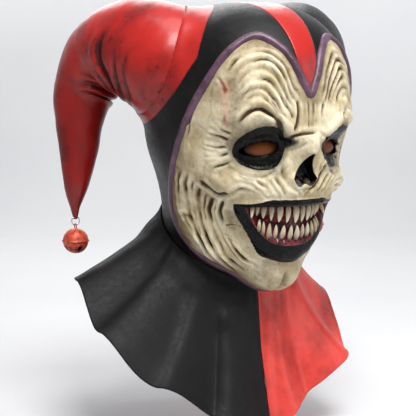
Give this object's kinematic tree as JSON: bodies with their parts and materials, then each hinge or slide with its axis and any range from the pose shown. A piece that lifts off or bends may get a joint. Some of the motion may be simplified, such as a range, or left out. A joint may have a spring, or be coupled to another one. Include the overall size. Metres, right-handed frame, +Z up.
{
  "type": "clown mask",
  "caption": "Full-head latex carnival mask of a skull-faced jester with a two-horned hood, bared pointed teeth, a draped collar and jingle bells.",
  "frame": {"origin": "the inside of the crown, where the top of the wearer's head meets the mask", "axes": "+Z up, -Y the way the face looks, +X to the wearer's left"},
  "size_m": [0.3174, 0.263, 0.427],
  "materials": {
    "bone_latex": "cream painted latex with brown wash in the creases, satin",
    "purple_latex": "purple painted latex, satin",
    "black_latex": "black painted latex, satin",
    "red_latex": "red painted latex, weathered, satin to glossy",
    "tooth_latex": "ivory painted latex, glossy",
    "amber_lens": "amber, smooth",
    "ring_wire": "bright wire",
    "bell_paint": "worn red paint on pressed metal"
  },
  "bodies": {
    "mask": {"face": "bone_latex", "face_welt": "purple_latex", "hood": "black_latex", "crown_stripe": "red_latex", "horn_right": "red_latex", "horn_left": "black_latex", "collar_right": "black_latex", "collar_left": "red_latex", "eye_lens_right": "amber_lens", "eye_lens_left": "amber_lens", "tooth_upper_01": "tooth_latex", "tooth_upper_02": "tooth_latex", "tooth_upper_03": "tooth_latex", "tooth_upper_04": "tooth_latex", "tooth_upper_05": "tooth_latex", "tooth_upper_06": "tooth_latex", "tooth_upper_07": "tooth_latex", "tooth_upper_08": "tooth_latex", "tooth_upper_09": "tooth_latex", "tooth_upper_10": "tooth_latex", "tooth_upper_11": "tooth_latex", "tooth_upper_12": "tooth_latex", "tooth_upper_13": "tooth_latex", "tooth_lower_01": "tooth_latex", "tooth_lower_02": "tooth_latex", "tooth_lower_03": "tooth_latex", "tooth_lower_04": "tooth_latex", "tooth_lower_05": "tooth_latex", "tooth_lower_06": "tooth_latex", "tooth_lower_07": "tooth_latex", "tooth_lower_08": "tooth_latex", "tooth_lower_09": "tooth_latex", "tooth_lower_10": "tooth_latex", "tooth_lower_11": "tooth_latex", "tooth_lower_12": "tooth_latex"},
    "ring_right": {"ring_right": "ring_wire"},
    "ring_left": {"ring_left": "ring_wire"},
    "bell_right": {"bell_right": "bell_paint"},
    "bell_left": {"bell_left": "bell_paint"}
  },
  "joints": [
    {"name": "ring_right_swing", "type": "hinge", "parent": "mask", "child": "ring_right", "pos_m": [-0.1445, 0.0975, -0.2106], "axis": [1, 0, 0], "range_deg": [-45, 45]},
    {"name": "bell_right_swing", "type": "hinge", "parent": "ring_right", "child": "bell_right", "pos_m": [-0.1445, 0.0975, -0.21775], "axis": [0, 1, 0], "range_deg": [-45, 45]},
    {"name": "ring_left_swing", "type": "hinge", "parent": "mask", "child": "ring_left", "pos_m": [0.1445, 0.0975, -0.2106], "axis": [1, 0, 0], "range_deg": [-45, 45]},
    {"name": "bell_left_swing", "type": "hinge", "parent": "ring_left", "child": "bell_left", "pos_m": [0.1445, 0.0975, -0.21775], "axis": [0, 1, 0], "range_deg": [-45, 45]}
  ]
}
